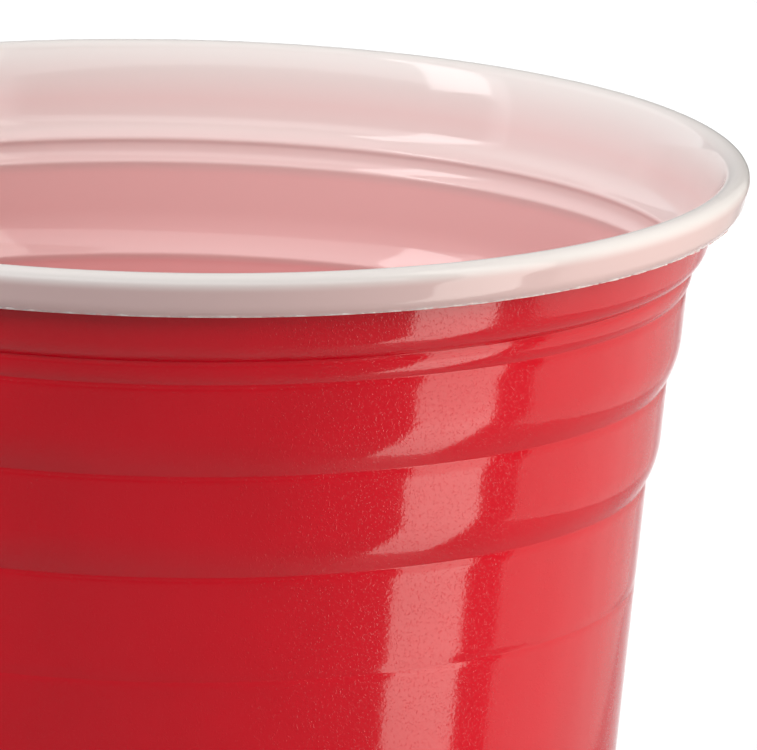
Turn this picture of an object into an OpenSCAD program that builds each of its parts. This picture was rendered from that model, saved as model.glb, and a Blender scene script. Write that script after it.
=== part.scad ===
// Red plastic party cup: one thermoformed shell with a rolled rim, a flared
// neck, a narrow stacking ridge, two stepped grip bands and a pushed-up base.
// Millimetres, +Z up, origin at the centre of the standing ring.

/* [Cup] */
// Height from the standing ring to the top of the rolled rim
height = 120; // [100:1:140]
// Diameter over the rolled rim
rim_d = 95; // [90:0.5:104]
// Outside diameter at the top of the plain wall, under the grip bands
wall_top_d = 79.4; // [74:0.2:84]
// Outside diameter of the plain wall where it would meet the table
base_d = 64; // [56:0.5:72]
// Wall thickness
wall = 0.4; // [0.3:0.05:0.6]

/* [Rolled rim] */
// Radius over the top of the rim
lip_r = 1.05; // [0.85:0.05:1.3]
// Length of the straight flank on the outside of the roll
flank = 1.25; // [0.9:0.05:1.8]
// Radius of the curl at the bottom of the roll
roll_r = 1.6; // [1.3:0.05:2]
// Clearance between the cut edge of the roll and the neck
curl_gap = 0.8; // [0.5:0.05:1]
// Radius of the curve that flares the top of the neck out into the lip
flare_r = 13; // [8:0.5:20]
// Angle that the flare turns through, in degrees
flare_turn = 9; // [5:0.5:14]

/* [Grip bands] */
// Drop from the top of the rim to the stacking ridge
neck_h = 8.1; // [7:0.1:10]
// How far the neck stands out past the groove over the stacking ridge
neck_step = 0.86; // [0.6:0.02:1.2]
// Height of the stacking ridge
ridge_h = 1.95; // [1.6:0.05:2.6]
// Height of the upper grip band
upper_band_h = 7.8; // [6:0.1:12]
// Height of the lower grip band
lower_band_h = 8.6; // [6:0.1:12]
// How far each grip band stands out past the one below it
band_step = 0.77; // [0.5:0.01:1]
// How far the stacking ridge stands out past the upper grip band
ridge_step = 0.3; // [0.2:0.02:0.4]
// Radius of the curve that draws the foot of a grip band inwards
band_r = 8; // [6:0.5:14]
// Radius of the curve that draws the foot of the neck inwards
neck_r = 3; // [1.6:0.1:4]
// Radius of the curve that draws the foot of the stacking ridge inwards
ridge_r = 2.2; // [1.2:0.1:3]
// Ledge that stands out at the top of each band
ledge = 0.12; // [0.08:0.01:0.2]
// Radius of the rounded top edge of a grip band
shoulder_r = 3; // [1.5:0.1:5]
// Radius of the rounded top edge of the stacking ridge
bead_r = 1.2; // [0.8:0.1:2]
// Height of the plain wall down to the fine level ring
ring_h = 8.7; // [6:0.1:30]
// Ledge of the fine level ring
ring_ledge = 0.06; // [0.04:0.01:0.1]

/* [Base] */
// Radius of the outer corner of the base
corner_r = 3; // [2:0.1:4]
// Width of the flat standing ring
foot_w = 1.2; // [0.8:0.1:3]
// Radius of the inner edge of the standing ring
foot_r = 1.6; // [1.2:0.1:2.4]
// Radius of the corner of the pushed-up panel
panel_r = 1.4; // [1:0.1:2.4]

/* [Hidden] */
$fn = 180;

// Largest distance between an arc and its chords
sag = 0.004;

// Heights of the top edges, from the ridge down to the level ring
z_ridge = height - neck_h;
z_upper = z_ridge - ridge_h;
z_lower = z_upper - upper_band_h;
z_wall = z_lower - lower_band_h;
z_ring = z_wall - ring_h;

// The plain wall is one cone, and the bands stand out from it by whole steps
wall_a = atan((wall_top_d - base_d) / 2 / z_wall);
function cone_r(z) = base_d / 2 + z * tan(wall_a);

// Top edges as [radius, height]
ridge_top = [cone_r(z_ridge) + 2 * band_step + ridge_step, z_ridge];
upper_top = [cone_r(z_upper) + 2 * band_step, z_upper];
lower_top = [cone_r(z_lower) + band_step, z_lower];
wall_top = [cone_r(z_wall), z_wall];
ring_top = [cone_r(z_ring), z_ring];

// Groove above a top edge whose ledge stands out by l
function groove(top, l) = top + [-l, l];

// Directions square to a wall that leans out by a, and up along it
function inward(a) = [-cos(a), sin(a)];
function along(a) = [sin(a), cos(a)];

// The neck leans so that it runs from the flare under the lip down to neck_step
// outside the groove
lip_c = [rim_d / 2 - lip_r, height - lip_r];
lip_in = lip_r + (flare_r - lip_r) * (1 - cos(flare_turn));
neck_run = lip_c - groove(ridge_top, ledge) - [neck_step, 0];
neck_lean = acos((lip_in - wall) / norm(neck_run)) - atan2(neck_run[1], neck_run[0]);
flare_c = lip_c - (flare_r - lip_r) * inward(neck_lean + flare_turn);
neck_top = flare_c + (flare_r - wall) * inward(neck_lean);

// Rolled rim: the wall folds over the lip, comes down a flank beside the neck
// and curls back until its cut edge is curl_gap away from the neck
roll_c = lip_c - (lip_r - roll_r) * inward(neck_lean) - flank * along(neck_lean);
curl_x = (curl_gap + wall + roll_r - lip_r - lip_in) / (roll_r - wall);
curl_a = acos(max(0, min(0.95, curl_x)));

// Base: outer corner, standing ring and the two arcs up to the panel
corner_c = [base_d / 2 + corner_r * (tan(wall_a) - 1 / cos(wall_a)), corner_r];
foot_c = [corner_c[0] - foot_w, foot_r];
panel_c = [foot_c[0] - foot_r - panel_r, foot_r];
panel_z = foot_r + panel_r;

// Points of an arc from angle a0 to angle a1
function arc(c, r, a0, a1) =
    let (n = ceil(abs(a1 - a0) / (2 * acos(1 - sag / r))))
    [for (i = [0:n]) let (a = a0 + (a1 - a0) * i / n) c + r * [cos(a), sin(a)]];

// The same with points where the arc is widest and highest
function turn(c, r, a0, a1) =
    let (stops = concat([a0], [for (a = [0, 90]) if (a > a0 && a < a1) a], [a1]))
    [for (i = [1:len(stops) - 1]) each arc(c, r, stops[i - 1], stops[i])];

// Arc radius, held to what fits between a top edge and the groove under it
function foot_radius(top, a, r, g) =
    let (inset = (top[0] + (g[1] - top[1]) * tan(a) - g[0]) * cos(a))
    let (reach = 0.95 * (top[1] - g[1]))
    min(r, (reach * reach + inset * inset) / (2 * inset));

// Centre of an arc of radius r, tangent to the wall through top, ending at g
function foot_centre(top, a, r, g) =
    let (v = top + r * inward(a) - g)
    let (b = v * along(a))
    top + r * inward(a) + (sqrt(max(0, b * b - v * v + r * r)) - b) * along(a);

// Curve at depth t that draws the foot of a wall through top in to groove g
function foot(top, a, r, g, t) =
    let (fit_r = foot_radius(top, a, r, g))
    let (c = foot_centre(top, a, fit_r, g))
    arc(c, fit_r - t, -a, atan2(g[1] - c[1], g[0] - c[0]));

// Angle and centre of the rounded top edge under a groove whose ledge is l
function shoulder_turn(a, l, r) = acos(1 - l * (cos(a) + sin(a)) / r);
function shoulder_centre(top, a, l, r) =
    let (end = shoulder_turn(a, l, r) - a)
    groove(top, l) - r * [cos(end), sin(end)];

// Rounded top edge of a wall at depth t, from the groove above it downwards
function shoulder(top, a, l, r, t) =
    arc(shoulder_centre(top, a, l, r), r - t, shoulder_turn(a, l, r) - a, -a);

// One band at depth t: the rounded top edge of radius e, then the wall and its
// foot of radius r, drawn in to groove g
function band(top, a, l, e, r, g, t) = concat(
    shoulder(top, a, l, e, t),
    foot(shoulder_centre(top, a, l, e) - e * inward(a), a, r, g, t)
);

// The rolled rim at depth t under its red face, from the cut edge to the neck
function rim(t) = concat(
    arc(roll_c, roll_r - wall + t, -neck_lean - curl_a, -neck_lean),
    turn(lip_c, lip_r - wall + t, -neck_lean, 180 - neck_lean - flare_turn),
    arc(flare_c, flare_r - wall + t, 180 - neck_lean - flare_turn, 180 - neck_lean)
);

// The neck, the ridge, the grip bands and the wall down to the level ring
function bands(t) = concat(
    foot(neck_top, neck_lean, neck_r, groove(ridge_top, ledge), t),
    band(ridge_top, wall_a, ledge, bead_r, ridge_r, groove(upper_top, ledge), t),
    band(upper_top, wall_a, ledge, shoulder_r, band_r, groove(lower_top, ledge), t),
    band(lower_top, wall_a, ledge, shoulder_r, band_r, groove(wall_top, ledge), t),
    band(wall_top, wall_a, ledge, shoulder_r, band_r, groove(ring_top, ring_ledge), t)
);

// The lower wall, the base corner, the standing ring and the pushed-up panel
function base(t) = concat(
    shoulder(ring_top, wall_a, ring_ledge, shoulder_r, t),
    arc(corner_c, corner_r - t, -wall_a, -90),
    arc(foot_c, foot_r - t, -90, -180),
    arc(panel_c, panel_r + t, 0, 90),
    [[0, panel_z + t]]
);

// One face of the shell from the cut edge of the rim to the middle of the base
function face(t) = concat(rim(t), bands(t), base(t));

function reversed(list) = [for (i = [len(list) - 1:-1:0]) list[i]];

module cup() {
    color([0.78, 0.02, 0.09])
        rotate_extrude(angle = 360)
            polygon(concat(face(wall), reversed(face(0))));
}

cup();
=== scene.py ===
"""A red plastic party cup with a white inside, standing in a small soft-lit studio."""

import logging
import math
from dataclasses import dataclass, field
from enum import Enum, IntEnum
from typing import Iterable, Mapping, Optional, Sequence, Union

import bmesh
import bpy
from mathutils import Matrix, Vector, noise


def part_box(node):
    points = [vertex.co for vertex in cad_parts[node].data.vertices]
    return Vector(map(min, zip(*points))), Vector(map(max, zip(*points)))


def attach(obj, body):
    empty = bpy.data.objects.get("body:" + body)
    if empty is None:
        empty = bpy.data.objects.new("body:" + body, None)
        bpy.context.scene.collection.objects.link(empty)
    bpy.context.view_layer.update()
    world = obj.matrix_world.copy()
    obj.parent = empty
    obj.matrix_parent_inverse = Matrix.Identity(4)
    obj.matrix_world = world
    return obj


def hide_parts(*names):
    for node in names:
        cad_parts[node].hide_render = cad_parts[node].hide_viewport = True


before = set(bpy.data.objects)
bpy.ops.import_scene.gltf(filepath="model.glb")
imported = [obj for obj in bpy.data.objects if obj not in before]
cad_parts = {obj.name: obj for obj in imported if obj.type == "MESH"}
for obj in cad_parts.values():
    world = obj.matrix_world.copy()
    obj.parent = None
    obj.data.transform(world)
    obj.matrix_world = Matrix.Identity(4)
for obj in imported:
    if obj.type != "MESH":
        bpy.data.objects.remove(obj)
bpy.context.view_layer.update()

LOG = logging.getLogger("party_cup")
MM = 0.001
MICRON = 1e-6
NODE = "cup"
BODY = "root"
IMAGE_WIDTH = 757.0
SENSOR_WIDTH = 36.0
PLASTIC_IOR = 1.5

Colour = tuple[float, float, float, float]
Number = Union[int, float]
Term = Union["Value", Number]


# Shader graph


class Value:
    """A number socket of a shader graph that takes part in Python arithmetic."""

    def __init__(self, graph: "Graph", socket: bpy.types.NodeSocket) -> None:
        """Keeps the graph and the output socket that the number comes from."""
        self.graph = graph
        self.socket = socket

    def _math(self, operation: str, first: Term, second: Term) -> "Value":
        """The result of one Math node on the left-hand and the right-hand term."""
        made = self.graph.add("ShaderNodeMath", {"operation": operation}, {0: first, 1: second})
        return self.graph.out(made, "Value")

    def __add__(self, other: Term) -> "Value":
        """Sum."""
        return self._math("ADD", self, other)

    def __radd__(self, other: Term) -> "Value":
        """Sum with the number on the left."""
        return self._math("ADD", other, self)

    def __sub__(self, other: Term) -> "Value":
        """Difference."""
        return self._math("SUBTRACT", self, other)

    def __rsub__(self, other: Term) -> "Value":
        """Difference from the number on the left."""
        return self._math("SUBTRACT", other, self)

    def __mul__(self, other: Term) -> "Value":
        """Product."""
        return self._math("MULTIPLY", self, other)

    def __rmul__(self, other: Term) -> "Value":
        """Product with the number on the left."""
        return self._math("MULTIPLY", other, self)

    def __truediv__(self, other: Term) -> "Value":
        """Quotient."""
        return self._math("DIVIDE", self, other)

    def __rtruediv__(self, other: Term) -> "Value":
        """Quotient of the number on the left."""
        return self._math("DIVIDE", other, self)

    def between(self, low: Number, high: Number) -> "Value":
        """Smooth rise from 0 at low to 1 at high.

        Args:
            low: The value at which the rise starts.
            high: The value at which it ends.

        Returns:
            The share, from 0 to 1.
        """
        made = self.graph.add(
            "ShaderNodeMapRange",
            {"interpolation_type": "SMOOTHSTEP"},
            {"Value": self, "From Min": low, "From Max": high},
        )
        return self.graph.out(made, "Result")


Link = Union[Value, bpy.types.NodeSocket, Number, Sequence[float]]


class Graph:
    """The node tree of one material or of the world."""

    def __init__(self, tree: bpy.types.NodeTree) -> None:
        """Empties the tree and keeps it."""
        self.tree = tree
        self.tree.nodes.clear()

    def add(
        self,
        kind: str,
        settings: Optional[Mapping[str, object]] = None,
        sockets: Optional[Mapping[Union[str, int], Link]] = None,
    ) -> bpy.types.Node:
        """Adds one node.

        Args:
            kind: The node's type name.
            settings: Its properties; "stops" holds a ramp's places and colours.
            sockets: The values or links of its inputs, by name or number.

        Returns:
            The new node.
        """
        made = self.tree.nodes.new(kind)
        for name, setting in (settings or {}).items():
            if name == "stops":
                self._stops(made.color_ramp, setting)
            else:
                setattr(made, name, setting)
        for name, link in (sockets or {}).items():
            self.feed(made.inputs[name], link)
        return made

    @staticmethod
    def _stops(ramp: bpy.types.ColorRamp, stops: Sequence[tuple[float, Colour]]) -> None:
        """Sets a ramp's stops.

        Args:
            ramp: The ramp to set.
            stops: Places from 0 to 1, each with its colour, in rising order.
        """
        while len(ramp.elements) < len(stops):
            ramp.elements.new(1.0)
        for element, (place, colour) in zip(ramp.elements, stops):
            element.position = place
            element.color = colour

    def feed(self, socket: bpy.types.NodeSocket, link: Link) -> None:
        """Links a socket, or sets its own value.

        Args:
            socket: The input socket.
            link: What it takes.
        """
        if isinstance(link, Value):
            self.tree.links.new(link.socket, socket)
        elif isinstance(link, bpy.types.NodeSocket):
            self.tree.links.new(link, socket)
        else:
            socket.default_value = link

    def out(self, made: bpy.types.Node, name: str) -> Value:
        """The named output of a node, as a number."""
        return Value(self, made.outputs[name])

    def place(self) -> bpy.types.NodeSocket:
        """The point on the surface, in the object's own metres."""
        return self.add("ShaderNodeTexCoord").outputs["Object"]

    def level(self) -> Value:
        """The height over the floor, in metres."""
        return self.out(self.add("ShaderNodeSeparateXYZ", None, {"Vector": self.place()}), "Z")

    def radius_squared(self) -> Value:
        """The square of the distance from the upright axis.

        Returns:
            The square, in square metres.
        """
        split = self.add("ShaderNodeSeparateXYZ", None, {"Vector": self.place()})
        across, deep = self.out(split, "X"), self.out(split, "Y")
        return across * across + deep * deep

    def stretched(self, scale: Sequence[float]) -> bpy.types.NodeSocket:
        """The point on the surface, stretched by factors along X, Y and Z."""
        made = self.add("ShaderNodeMapping", None, {"Vector": self.place(), "Scale": scale})
        return made.outputs["Vector"]

    def grain(self, point: bpy.types.NodeSocket, scale: float, detail: float) -> Value:
        """Noise around 0.5.

        Args:
            point: Where on the surface.
            scale: Waves in each metre.
            detail: Octaves of finer noise on top.

        Returns:
            The noise.
        """
        made = self.add(
            "ShaderNodeTexNoise", None, {"Vector": point, "Scale": scale, "Detail": detail}
        )
        return self.out(made, "Fac")

    def blend(self, share: Link, first: Link, second: Link) -> bpy.types.NodeSocket:
        """A colour between two, where a share of 0 gives the first and 1 the second."""
        made = self.add("ShaderNodeMix", {"data_type": "RGBA"}, {0: share, 6: first, 7: second})
        return made.outputs[2]

    def bump(self, height: Value, distance: float) -> bpy.types.NodeSocket:
        """Surface normal of a fine relief, whose height counts distances in metres."""
        made = self.add("ShaderNodeBump", None, {"Height": height, "Distance": distance})
        return made.outputs["Normal"]

    def surface(self, sockets: Mapping[str, Link]) -> None:
        """Gives the material its surface, from the values or links of its inputs by name."""
        shader = self.add("ShaderNodeBsdfPrincipled", None, sockets)
        self.add("ShaderNodeOutputMaterial", None, {"Surface": shader.outputs["BSDF"]})


# Finishes


def new_material(name: str) -> tuple[bpy.types.Material, Graph]:
    """Makes an empty material.

    Args:
        name: The material's name.

    Returns:
        The material and its graph.
    """
    made = bpy.data.materials.new(name)
    made.use_nodes = True
    return made, Graph(made.node_tree)


@dataclass(frozen=True)
class RedPlastic:
    """Glossy red outer layer with a fine grain, small specks and faint forming marks.

    Depths of the relief are in micrometres.
    """

    neck_foot: float
    colour: Colour = (0.62, 0.0, 0.0105, 1.0)
    deep: Colour = (0.59, 0.0, 0.0095, 1.0)
    mottle_scale: float = 90.0
    mottle_range: tuple[float, float] = (0.35, 0.65)
    roughness: float = 0.085
    roughness_swing: float = 0.03
    grain_scale: float = 3000.0
    grain_depth: float = 6.0
    speck_scale: float = 6800.0
    speck_range: tuple[float, float] = (0.64, 0.78)
    speck_depth: float = 9.0
    wave_scale: float = 420.0
    wave_depth: float = 5.0
    streak_scale: tuple[float, float, float] = (60.0, 60.0, 5200.0)
    streak_depth: float = 0.5
    streak_fade: float = 0.5 * MM

    def make(self) -> bpy.types.Material:
        """Makes the red layer's finish.

        Returns:
            The material.
        """
        made, graph = new_material("red_plastic")
        point = graph.place()
        mottle = graph.grain(point, self.mottle_scale, detail=3.0).between(*self.mottle_range)
        fine = graph.grain(point, self.grain_scale, detail=1.0)
        speck = graph.grain(point, self.speck_scale, detail=0.0).between(*self.speck_range)
        wave = graph.grain(point, self.wave_scale, detail=1.0)
        streak = graph.grain(graph.stretched(self.streak_scale), scale=1.0, detail=2.0)
        neck = graph.level().between(self.neck_foot, self.neck_foot + self.streak_fade)
        relief = (
            self.grain_depth * fine
            + self.speck_depth * speck
            + self.wave_depth * wave
            + self.streak_depth * streak * neck
        )
        graph.surface({
            "Base Color": graph.blend(mottle, self.deep, self.colour),
            "Roughness": self.roughness + self.roughness_swing * (fine - 0.5),
            "IOR": PLASTIC_IOR,
            "Normal": graph.bump(relief, MICRON),
        })
        return made


@dataclass(frozen=True)
class WhiteLayer:
    """White inner layer that thins as the wall is drawn down, so that the red shows through."""

    height: float
    tints: tuple[tuple[float, Colour], ...]
    crest: float
    flank: Colour = (0.70, 0.50, 0.485, 1.0)
    flank_depth: float = 1.5 * MM
    edge: float = 0.4 * MM
    gloss: float = 0.37
    roughness: float = 0.07
    roughness_swing: float = 0.04
    wave_scale: float = 380.0
    wave_depth: float = 4.0

    def make(self) -> bpy.types.Material:
        """Makes the white layer's finish.

        Returns:
            The material.
        """
        made, graph = new_material("white_layer")
        point = graph.place()
        stops = [(level_mm * MM / self.height, tint) for level_mm, tint in self.tints]
        share = graph.level() / self.height
        tint = graph.add("ShaderNodeValToRGB", {"stops": stops}, {"Fac": share})
        outside = graph.radius_squared().between(self.crest**2, (self.crest + self.edge) ** 2)
        under = graph.level().between(self.height - self.edge, self.height - self.flank_depth)
        wave = graph.grain(point, self.wave_scale, detail=1.0)
        graph.surface({
            "Base Color": graph.blend(outside * under, tint.outputs["Color"], self.flank),
            "Roughness": self.roughness + self.roughness_swing * (wave - 0.5),
            "IOR": PLASTIC_IOR,
            "Specular IOR Level": self.gloss,
            "Normal": graph.bump(self.wave_depth * wave, MICRON),
        })
        return made


@dataclass(frozen=True)
class CutEdge:
    """Trimmed edge of the sheet, a matt white with a little red in it."""

    pale: Colour = (0.80, 0.70, 0.68, 1.0)
    pink: Colour = (0.74, 0.42, 0.42, 1.0)
    fleck_scale: float = 1500.0
    fleck_range: tuple[float, float] = (0.45, 0.7)
    roughness: float = 0.45
    roughness_swing: float = 0.2

    def make(self) -> bpy.types.Material:
        """Makes the cut edge's finish.

        Returns:
            The material.
        """
        made, graph = new_material("cut_edge")
        fleck = graph.grain(graph.place(), self.fleck_scale, detail=3.0)
        graph.surface({
            "Base Color": graph.blend(fleck.between(*self.fleck_range), self.pale, self.pink),
            "Roughness": self.roughness + self.roughness_swing * fleck,
            "IOR": PLASTIC_IOR,
        })
        return made


@dataclass(frozen=True)
class PaleFloor:
    """Matt pale floor."""

    colour: Colour = (0.52, 0.52, 0.52, 1.0)
    mottle: Colour = (0.50, 0.50, 0.50, 1.0)
    mottle_scale: float = 6.0
    roughness: float = 0.9
    gloss: float = 0.1

    def make(self) -> bpy.types.Material:
        """Makes the floor's finish.

        Returns:
            The material.
        """
        made, graph = new_material("pale_floor")
        soft = graph.grain(graph.place(), self.mottle_scale, detail=2.0)
        graph.surface({
            "Base Color": graph.blend(soft, self.colour, self.mottle),
            "Roughness": self.roughness,
            "Specular IOR Level": self.gloss,
        })
        return made


# Cup


class Face(IntEnum):
    """Faces of the shell, in the order of the material slots."""

    WHITE = 0
    RED = 1
    CUT = 2


class Layer(Enum):
    """Depth of a face under the red side, as a share of the wall."""

    RED = 0.0
    WHITE = 1.0


def inward(lean: float) -> Vector:
    """Direction square to a wall that leans out by lean, towards the inside."""
    return Vector((-math.cos(lean), math.sin(lean)))


def along(lean: float) -> Vector:
    """Direction up along a wall that leans out by lean."""
    return Vector((math.sin(lean), math.cos(lean)))


def mixed(first: Colour, last: Colour, share: float) -> Colour:
    """Colour that lies a share of the way from the first to the last."""
    return tuple(a + (b - a) * share for a, b in zip(first, last))


def ray(angle: float) -> Vector:
    """Direction at an angle from the horizontal."""
    return Vector((math.cos(angle), math.sin(angle)))


@dataclass
class Pen:
    """Draws a profile in the XZ plane, from points in millimetres of radius and height."""

    mesh: bmesh.types.BMesh
    start: Vector
    sag: float = 0.003
    guard: float = 0.2
    least: float = 1e-5
    corners: list[bmesh.types.BMVert] = field(default_factory=list)

    def __post_init__(self) -> None:
        """Puts the pen down at its start."""
        self.tip = self.mesh.verts.new(self.solid(self.start))

    @staticmethod
    def solid(point: Vector) -> Vector:
        """A profile point in metres, in the XZ plane."""
        return Vector((point.x * MM, 0.0, point.y * MM))

    def here(self) -> Vector:
        """Where the pen is, in millimetres."""
        return Vector((self.tip.co.x / MM, self.tip.co.z / MM))

    def _step(self, point: Vector) -> None:
        """Draws one edge.

        Args:
            point: Where it ends.
        """
        made = bmesh.ops.extrude_vert_indiv(self.mesh, verts=[self.tip])
        self.tip = made["verts"][0]
        self.tip.co = self.solid(point)

    def line(self, to: Vector, corner: bool = False) -> None:
        """Draws a straight line with a close point at each end, which keeps it flat.

        Args:
            to: The end of the line.
            corner: Whether the line ends in a corner that is eased later.
        """
        run = to - self.here()
        if run.length > 3 * self.guard:
            step = run.normalized() * self.guard
            self._step(self.here() + step)
            self._step(to - step)
        if run.length > self.least:
            self._step(to)
        if corner:
            self.corners.append(self.tip)

    def arc(self, centre: Vector, sweep: float, corner: bool = False) -> None:
        """Draws an arc from where the pen is.

        Args:
            centre: The arc's centre.
            sweep: How far it turns, anticlockwise, in radians.
            corner: Whether the arc ends in a corner that is eased later.
        """
        radius = (self.here() - centre).length
        step = 2 * math.acos(1 - self.sag / radius)
        made = bmesh.ops.spin(
            self.mesh,
            geom=[self.tip],
            cent=self.solid(centre),
            axis=(0.0, -1.0, 0.0),
            angle=sweep,
            steps=max(1, math.ceil(abs(sweep) / step)),
        )
        self.tip = next(v for v in made["geom_last"] if isinstance(v, bmesh.types.BMVert))
        if corner:
            self.corners.append(self.tip)


@dataclass
class Cup:
    """The cup's one-piece shell. Sizes are in millimetres."""

    rim_d: float
    height: float
    wall_top_d: float = 79.4
    base_d: float = 64.0
    wall: float = 0.4
    lip_r: float = 1.05
    flank: float = 1.25
    roll_r: float = 1.6
    curl_gap: float = 0.8
    flare_r: float = 13.0
    flare_turn: float = math.radians(9.0)
    neck_h: float = 8.1
    neck_step: float = 0.86
    ridge_h: float = 1.95
    upper_band_h: float = 7.8
    lower_band_h: float = 8.6
    band_step: float = 0.77
    ridge_step: float = 0.3
    band_r: float = 8.0
    neck_r: float = 3.0
    ridge_r: float = 2.2
    ledge: float = 0.12
    shoulder_r: float = 3.0
    bead_r: float = 1.2
    ring_h: float = 8.7
    ring_ledge: float = 0.06
    corner_r: float = 3.0
    foot_w: float = 1.2
    foot_r: float = 1.6
    panel_r: float = 1.4
    foot_share: float = 0.95
    ease: float = 0.045
    ease_segments: int = 2
    weld: float = 0.0001
    turns: int = 240
    thick: Colour = (0.758, 0.71, 0.69, 1.0)
    thin: Colour = (0.772, 0.33, 0.33, 1.0)
    tint_edge: float = 0.05
    trim_cuts: int = 5
    trim_back: float = 0.5
    trim_wander: float = 0.28
    trim_slow: float = 40.0
    trim_quick: float = 150.0
    quick_share: float = 0.6
    trim_burr: float = 0.96
    burr_from: float = 0.35
    streak_from: float = 2.0

    def __post_init__(self) -> None:
        """Works out heights, top edges and arc centres from the sizes."""
        self.z_ridge = self.height - self.neck_h
        self.z_upper = self.z_ridge - self.ridge_h
        self.z_lower = self.z_upper - self.upper_band_h
        self.z_wall = self.z_lower - self.lower_band_h
        self.z_ring = self.z_wall - self.ring_h
        self.wall_a = math.atan((self.wall_top_d - self.base_d) / 2 / self.z_wall)
        self.ridge_top = self.edge(self.z_ridge, 2 * self.band_step + self.ridge_step)
        self.upper_top = self.edge(self.z_upper, 2 * self.band_step)
        self.lower_top = self.edge(self.z_lower, self.band_step)
        self.wall_top = self.edge(self.z_wall, 0.0)
        self.ring_top = self.edge(self.z_ring, 0.0)
        self.lip_c = Vector((self.rim_d / 2 - self.lip_r, self.height - self.lip_r))
        swell = self.flare_r - self.lip_r
        lip_in = self.lip_r + swell * (1 - math.cos(self.flare_turn))
        run = self.lip_c - self.groove(self.ridge_top, self.ledge) - Vector((self.neck_step, 0.0))
        self.neck_lean = math.acos((lip_in - self.wall) / run.length) - math.atan2(run.y, run.x)
        self.flare_c = self.lip_c - swell * inward(self.neck_lean + self.flare_turn)
        self.neck_top = self.flare_c + (self.flare_r - self.wall) * inward(self.neck_lean)
        self.roll_c = (
            self.lip_c
            - (self.lip_r - self.roll_r) * inward(self.neck_lean)
            - self.flank * along(self.neck_lean)
        )
        reach = self.curl_gap + self.wall + self.roll_r - self.lip_r - lip_in
        self.curl_a = math.acos(reach / (self.roll_r - self.wall))
        self.corner_c = Vector((
            self.base_d / 2 + self.corner_r * (math.tan(self.wall_a) - 1 / math.cos(self.wall_a)),
            self.corner_r,
        ))
        self.foot_c = Vector((self.corner_c.x - self.foot_w, self.foot_r))
        self.panel_c = Vector((self.foot_c.x - self.foot_r - self.panel_r, self.foot_r))
        self.panel_z = self.foot_r + self.panel_r

    def edge(self, level: float, out: float) -> Vector:
        """Radius and height of a top edge that stands out from the plain wall's cone."""
        return Vector((self.base_d / 2 + level * math.tan(self.wall_a) + out, level))

    @staticmethod
    def groove(top: Vector, ledge: float) -> Vector:
        """The groove above a top edge whose ledge stands out by ledge."""
        return top + Vector((-ledge, ledge))

    def draw_rim(self, mesh: bmesh.types.BMesh, depth: float) -> Pen:
        """Draws the rolled rim from its cut edge over the lip.

        Args:
            mesh: The mesh to draw in.
            depth: How deep the face lies under the red side.

        Returns:
            The pen, at the top of the neck.
        """
        roll = self.roll_r - self.wall + depth
        lip = self.lip_r - self.wall + depth
        pen = Pen(mesh, self.roll_c + roll * ray(-self.neck_lean - self.curl_a))
        pen.arc(self.roll_c, self.curl_a)
        pen.line(self.lip_c + lip * ray(-self.neck_lean))
        pen.arc(self.lip_c, math.pi - self.flare_turn)
        pen.arc(self.flare_c, self.flare_turn)
        return pen

    def draw_foot(
        self, pen: Pen, top: Vector, lean: float, radius: float, groove: Vector, depth: float
    ) -> None:
        """Draws a straight wall and the curve that draws its foot in to the groove below.

        Args:
            pen: The pen, at the top of the wall.
            top: The top of the wall on the red side.
            lean: The lean of the wall.
            radius: The radius of its foot.
            groove: The groove that the foot ends in.
            depth: How deep the face lies under the red side.
        """
        inset = (top.x + (groove.y - top.y) * math.tan(lean) - groove.x) * math.cos(lean)
        reach = self.foot_share * (top.y - groove.y)
        radius = min(radius, (reach * reach + inset * inset) / (2 * inset))
        side = top + radius * inward(lean)
        back = side - groove
        slip = back.dot(along(lean))
        slide = math.sqrt(max(0.0, slip * slip - back.dot(back) + radius * radius)) - slip
        centre = side + slide * along(lean)
        end = math.atan2(groove.y - centre.y, groove.x - centre.x)
        pen.line(centre + (radius - depth) * ray(-lean))
        pen.arc(centre, end + lean, corner=depth == 0)

    def draw_shoulder(
        self, pen: Pen, top: Vector, lean: float, ledge: float, radius: float, depth: float
    ) -> Vector:
        """Draws the bend of the sheet at a groove and the rounded top edge under it.

        Args:
            pen: The pen, at the end of the foot above.
            top: The band's top edge, before it is rounded.
            lean: The lean of the wall under it.
            ledge: How far the edge stands out past the groove.
            radius: The radius of the rounded edge.
            depth: How deep the face lies under the red side.

        Returns:
            The lower end of the rounded edge on the red side.
        """
        turn = math.acos(1 - ledge * (math.cos(lean) + math.sin(lean)) / radius)
        groove = self.groove(top, ledge)
        centre = groove - radius * ray(turn - lean)
        if depth > 0:
            start = groove - pen.here()
            pen.arc(groove, turn - lean - math.atan2(start.y, start.x))
        pen.arc(centre, -turn)
        return centre - radius * inward(lean)

    def draw_base(self, pen: Pen, depth: float) -> None:
        """Draws the lower wall, the base corner, the standing ring and the pushed-up panel.

        Args:
            pen: The pen, at the level ring's groove.
            depth: How deep the face lies under the red side.
        """
        ring = (self.ring_top, self.wall_a, self.ring_ledge, self.shoulder_r)
        self.draw_shoulder(pen, *ring, depth)
        pen.line(self.corner_c + (self.corner_r - depth) * ray(-self.wall_a))
        pen.arc(self.corner_c, self.wall_a - math.pi / 2)
        pen.line(self.foot_c + (self.foot_r - depth) * ray(-math.pi / 2))
        pen.arc(self.foot_c, -math.pi / 2)
        pen.line(self.panel_c + (self.panel_r + depth) * ray(0.0))
        pen.arc(self.panel_c, math.pi / 2)
        pen.line(Vector((0.0, self.panel_z + depth)))

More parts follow.
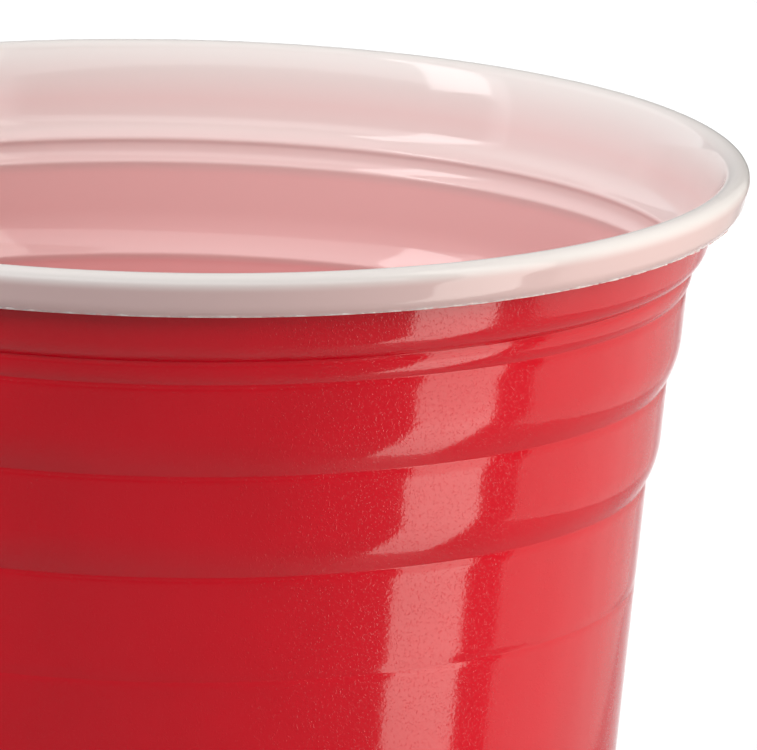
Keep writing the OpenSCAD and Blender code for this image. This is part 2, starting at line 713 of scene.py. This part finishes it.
    def turn_face(self, mesh: bmesh.types.BMesh, layer: Layer, slot: Face) -> None:
        """Draws one face's profile, eases its corners and turns it about the axis.

        Args:
            mesh: The mesh to build in.
            layer: Which side of the wall.
            slot: The material slot of the new faces.
        """
        depth = layer.value * self.wall
        before = set(mesh.faces)
        pen = self.draw_rim(mesh, depth)
        bands = (
            (self.ridge_top, self.bead_r, self.ridge_r),
            (self.upper_top, self.shoulder_r, self.band_r),
            (self.lower_top, self.shoulder_r, self.band_r),
            (self.wall_top, self.shoulder_r, self.band_r),
        )
        grooves = [self.groove(top, self.ledge) for top, _, _ in bands]
        grooves.append(self.groove(self.ring_top, self.ring_ledge))
        self.draw_foot(pen, self.neck_top, self.neck_lean, self.neck_r, grooves[0], depth)
        for (top, edge, foot), groove in zip(bands, grooves[1:]):
            side = self.draw_shoulder(pen, top, self.wall_a, self.ledge, edge, depth)
            self.draw_foot(pen, side, self.wall_a, foot, groove, depth)
        self.draw_base(pen, depth)
        bmesh.ops.bevel(
            mesh,
            geom=pen.corners,
            offset=self.ease * MM,
            offset_type="OFFSET",
            segments=self.ease_segments,
            profile=0.5,
            affect="VERTICES",
            material=-1,
        )
        wire = [e for e in mesh.edges if not e.link_faces]
        bmesh.ops.spin(
            mesh,
            geom=wire + list({v for e in wire for v in e.verts}),
            cent=(0.0, 0.0, 0.0),
            axis=(0.0, 0.0, 1.0),
            angle=2 * math.pi,
            steps=self.turns,
            use_merge=True,
        )
        for made in set(mesh.faces) - before:
            made.material_index = slot

    def trim_rim(self, mesh: bmesh.types.BMesh) -> None:
        """Closes the cut edge of the roll and roughens it, as a trimming tool leaves it.

        Args:
            mesh: The mesh, with both faces turned.
        """
        rings = [e for e in mesh.edges if e.is_boundary]
        before = set(mesh.faces)
        bmesh.ops.bridge_loops(mesh, edges=rings)
        for made in set(mesh.faces) - before:
            made.material_index = Face.CUT
        cut = bmesh.ops.subdivide_edges(mesh, edges=rings, cuts=self.trim_cuts)
        ring = {v for v in cut["geom_inner"] if isinstance(v, bmesh.types.BMVert)}
        ring |= {v for e in rings if e.is_valid for v in e.verts}
        end = -self.neck_lean - self.curl_a
        for vert in ring:
            turn = math.atan2(vert.co.y, vert.co.x)
            slow = noise.noise(Vector((math.cos(turn), math.sin(turn), 0.3)) * self.trim_slow)
            quick = noise.noise(Vector((math.cos(turn), math.sin(turn), 0.7)) * self.trim_quick)
            burr = max(0.0, quick - self.burr_from) * self.trim_burr
            shift = (slow + self.quick_share * quick) * self.trim_wander + burr - self.trim_back
            step = ray(end - math.pi / 2) * shift * MM
            vert.co += Vector((step.x * math.cos(turn), step.x * math.sin(turn), step.y))

    def build(self) -> bpy.types.Object:
        """Builds the shell and puts it in the scene.

        Returns:
            The cup's object.
        """
        mesh = bmesh.new()
        self.turn_face(mesh, Layer.WHITE, Face.WHITE)
        self.turn_face(mesh, Layer.RED, Face.RED)
        bmesh.ops.remove_doubles(mesh, verts=mesh.verts[:], dist=self.weld * MM)
        self.trim_rim(mesh)
        bmesh.ops.recalc_face_normals(mesh, faces=mesh.faces[:])
        for made in mesh.faces:
            made.smooth = True
        data = bpy.data.meshes.new("party_cup")
        mesh.to_mesh(data)
        mesh.free()
        piece = bpy.data.objects.new("party_cup", data)
        bpy.context.scene.collection.objects.link(piece)
        return piece

    def tints(self) -> tuple[tuple[float, Colour], ...]:
        """Colours of the white layer by height, pinker where the sheet was drawn thinner.

        Returns:
            Heights in millimetres, each with its colour, in rising order.
        """
        step = self.tint_edge
        thinned = (
            (0.0, 0.12),
            (self.panel_z + 4.0, 0.12),
            (20.0, 1.0),
            (self.z_lower - step, 0.94),
            (self.z_lower + step, 0.63),
            (self.z_lower + 2.5, 0.75),
            (self.z_upper - 0.6, 0.75),
            (self.z_upper + step, 0.46),
            (self.z_ridge, 0.40),
            (self.z_ridge + 1.2, 0.25),
            (self.z_ridge + 3.3, 0.38),
            (self.z_ridge + 5.3, 0.17),
            (self.height - 1.0, 0.0),
        )
        return tuple((level, mixed(self.thick, self.thin, share)) for level, share in thinned)

    def dress(self, piece: bpy.types.Object) -> None:
        """Gives the cup its finishes and its place on the CAD body.

        Args:
            piece: The cup's object.
        """
        finishes = {
            Face.WHITE: WhiteLayer(self.height * MM, self.tints(), self.lip_c.x * MM).make(),
            Face.RED: RedPlastic((self.z_ridge + self.streak_from) * MM).make(),
            Face.CUT: CutEdge().make(),
        }
        for face in Face:
            piece.data.materials.append(finishes[face])
        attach(piece, BODY)
        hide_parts(NODE)


# Studio


WARM = (1.0, 0.97, 0.90)
STRIP_FRONT = (0.0886, -0.0809)
STRIP_BACK = (0.1095, -0.0492)


@dataclass(frozen=True)
class Panel:
    """An upright soft lamp beside the cup, made of slats between two points of the floor plan.

    Lengths are in metres. The light falls to fade from the first slat to the last, and
    grows to rise from the lowest row to the highest.
    """

    name: str
    start: tuple[float, float]
    end: tuple[float, float]
    low: float
    high: float
    radiance: float
    fade: float = 1.0
    slats: int = 1
    rise: float = 1.0
    rows: int = 1
    colour: tuple[float, float, float] = (1.0, 1.0, 1.0)

    def place(self) -> list[bpy.types.Object]:
        """Puts the slats in the scene, facing the cup.

        Returns:
            The slats' objects.
        """
        run = Vector((*self.end, 0.0)) - Vector((*self.start, 0.0))
        foot = Vector((*self.start, self.low))
        lift = Vector((0.0, 0.0, self.high - self.low))
        side = run.normalized()
        if side.cross(lift).dot(foot) < 0:
            side.negate()
        upright = lift.normalized()
        turn = Matrix((side, upright, side.cross(upright))).transposed().to_4x4()
        made = []
        for number in range(self.slats * self.rows):
            across = (number % self.slats + 0.5) / self.slats
            up = (number // self.slats + 0.5) / self.rows
            lamp = bpy.data.lights.new(f"{self.name}_{number}", "AREA")
            lamp.shape = "RECTANGLE"
            lamp.size = run.length / self.slats
            lamp.size_y = lift.length / self.rows
            lamp.color = self.colour
            glow = self.radiance * (1 + (self.fade - 1) * across) * (1 + (self.rise - 1) * up)
            lamp.energy = 4 * glow * lamp.size * lamp.size_y
            slat = bpy.data.objects.new(lamp.name, lamp)
            slat.matrix_world = Matrix.Translation(foot + run * across + lift * up) @ turn
            slat.visible_camera = False
            bpy.context.scene.collection.objects.link(slat)
            made.append(slat)
        return made


@dataclass
class Studio:
    """Pale floor, soft lamps and the camera."""

    floor_size: float = 6.0
    panels: tuple[Panel, ...] = (
        Panel(
            "strip_right_foot",
            STRIP_FRONT,
            STRIP_BACK,
            low=0.0,
            high=0.075,
            radiance=1.95,
            rise=1.6,
            rows=5,
            colour=WARM,
        ),
        Panel("strip_right", STRIP_FRONT, STRIP_BACK, 0.075, 0.28, 2.3, colour=WARM),
        Panel(
            "panel_right",
            (0.203, -0.030),
            (0.150, 0.275),
            low=0.002,
            high=0.36,
            radiance=0.60,
            fade=0.42,
            slats=6,
            colour=WARM,
        ),
        Panel("strip_left", (-0.1798, -0.0877), (-0.1975, -0.0313), 0.184, 0.48, 4.4),
        Panel("panel_left", (-0.199, -0.034), (-0.150, 0.30), 0.002, 0.36, 0.72),
        Panel("front_wide", (-2.30, -0.45), (1.60, -1.45), 0.60, 1.35, 1.42),
    )
    top_height: float = 0.9
    top_size: float = 0.7
    top_radiance: float = 0.4
    back_place: tuple[float, float, float] = (0.02, 0.52, 0.95)
    back_power: float = 62.0
    back_cone: float = 44.0
    back_squeeze: float = 0.42
    back_blend: float = 0.4
    back_soft: float = 0.08
    air: float = 0.33
    camera_out: float = 0.8998158
    camera_up: float = 0.3097613
    camera_yaw: float = 0.0191988
    camera_pitch: float = 0.2275576
    camera_roll: float = 0.0230559
    camera_near: float = 0.01
    camera_far: float = 50.0
    focal_pixels: float = 11163.75

    def lay_floor(self) -> bpy.types.Object:
        """Lays the floor under the cup.

        Returns:
            The floor's object.
        """
        mesh = bmesh.new()
        bmesh.ops.create_grid(mesh, x_segments=1, y_segments=1, size=self.floor_size / 2)
        data = bpy.data.meshes.new("floor")
        mesh.to_mesh(data)
        mesh.free()
        data.materials.append(PaleFloor().make())
        floor = bpy.data.objects.new("floor", data)
        bpy.context.scene.collection.objects.link(floor)
        return floor

    @staticmethod
    def hang(lamp: bpy.types.Light, place: Sequence[float]) -> bpy.types.Object:
        """Hangs a lamp over the floor, pointing down and out of the camera's sight.

        Args:
            lamp: The lamp.
            place: Where it hangs, in metres.

        Returns:
            The lamp's object.
        """
        made = bpy.data.objects.new(lamp.name, lamp)
        made.location = place
        made.visible_camera = False
        bpy.context.scene.collection.objects.link(made)
        return made

    def light(self) -> list[bpy.types.Object]:
        """Places the lamps.

        Returns:
            The lamps' objects.
        """
        lamps = [lamp for panel in self.panels for lamp in panel.place()]
        top = bpy.data.lights.new("top_soft", "AREA")
        top.shape = "DISK"
        top.size = self.top_size
        top.energy = self.top_radiance * math.pi * self.top_size**2
        lamps.append(self.hang(top, (0.0, 0.0, self.top_height)))
        back = bpy.data.lights.new("back_floor", "SPOT")
        back.energy = self.back_power
        back.spot_size = math.radians(self.back_cone)
        back.spot_blend = self.back_blend
        back.shadow_soft_size = self.back_soft
        spot = self.hang(back, self.back_place)
        spot.scale.x = self.back_squeeze
        lamps.append(spot)
        return lamps

    def fill_room(self) -> None:
        """Sets the dim even light of the room."""
        world = bpy.data.worlds.new("studio")
        world.use_nodes = True
        graph = Graph(world.node_tree)
        grey = (self.air, self.air, self.air, 1.0)
        sky = graph.add("ShaderNodeBackground", None, {"Color": grey, "Strength": 1.0})
        graph.add("ShaderNodeOutputWorld", None, {"Surface": sky.outputs["Background"]})
        bpy.context.scene.world = world

    def point_camera(self) -> bpy.types.Object:
        """Puts the camera where the photograph was taken from.

        Returns:
            The camera's object.
        """
        lens = bpy.data.cameras.new("camera")
        lens.sensor_width = SENSOR_WIDTH
        lens.sensor_fit = "HORIZONTAL"
        lens.lens = self.focal_pixels * SENSOR_WIDTH / IMAGE_WIDTH
        lens.clip_start = self.camera_near
        lens.clip_end = self.camera_far
        camera = bpy.data.objects.new("camera", lens)
        flat = math.cos(self.camera_pitch)
        ahead = Vector((
            math.sin(self.camera_yaw) * flat,
            math.cos(self.camera_yaw) * flat,
            -math.sin(self.camera_pitch),
        ))
        right = Vector((math.cos(self.camera_yaw), -math.sin(self.camera_yaw), 0.0))
        up = right.cross(ahead)
        rolled = right * math.cos(self.camera_roll) + up * math.sin(self.camera_roll)
        head = up * math.cos(self.camera_roll) - right * math.sin(self.camera_roll)
        turn = Matrix((rolled, head, -ahead)).transposed()
        stand = Vector((0.0, -self.camera_out, self.camera_up))
        camera.matrix_world = Matrix.Translation(stand) @ turn.to_4x4()
        bpy.context.scene.collection.objects.link(camera)
        bpy.context.scene.camera = camera
        return camera


def main() -> None:
    """Builds the cup and the studio, and reports each piece."""
    logging.basicConfig(level=logging.INFO, format="%(name)s: %(message)s")
    low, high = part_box(NODE)
    cup = Cup(rim_d=2 * high.x / MM, height=(high.z - low.z) / MM)
    piece = cup.build()
    cup.dress(piece)
    LOG.info("%s: %d faces", piece.name, len(piece.data.polygons))
    studio = Studio()
    floor = studio.lay_floor()
    lamps = studio.light()
    studio.fill_room()
    camera = studio.point_camera()
    LOG.info("%s, %d lamps, %s", floor.name, len(lamps), camera.name)
    bpy.context.scene.view_settings.view_transform = "Standard"


if __name__ == "__main__":
    main()
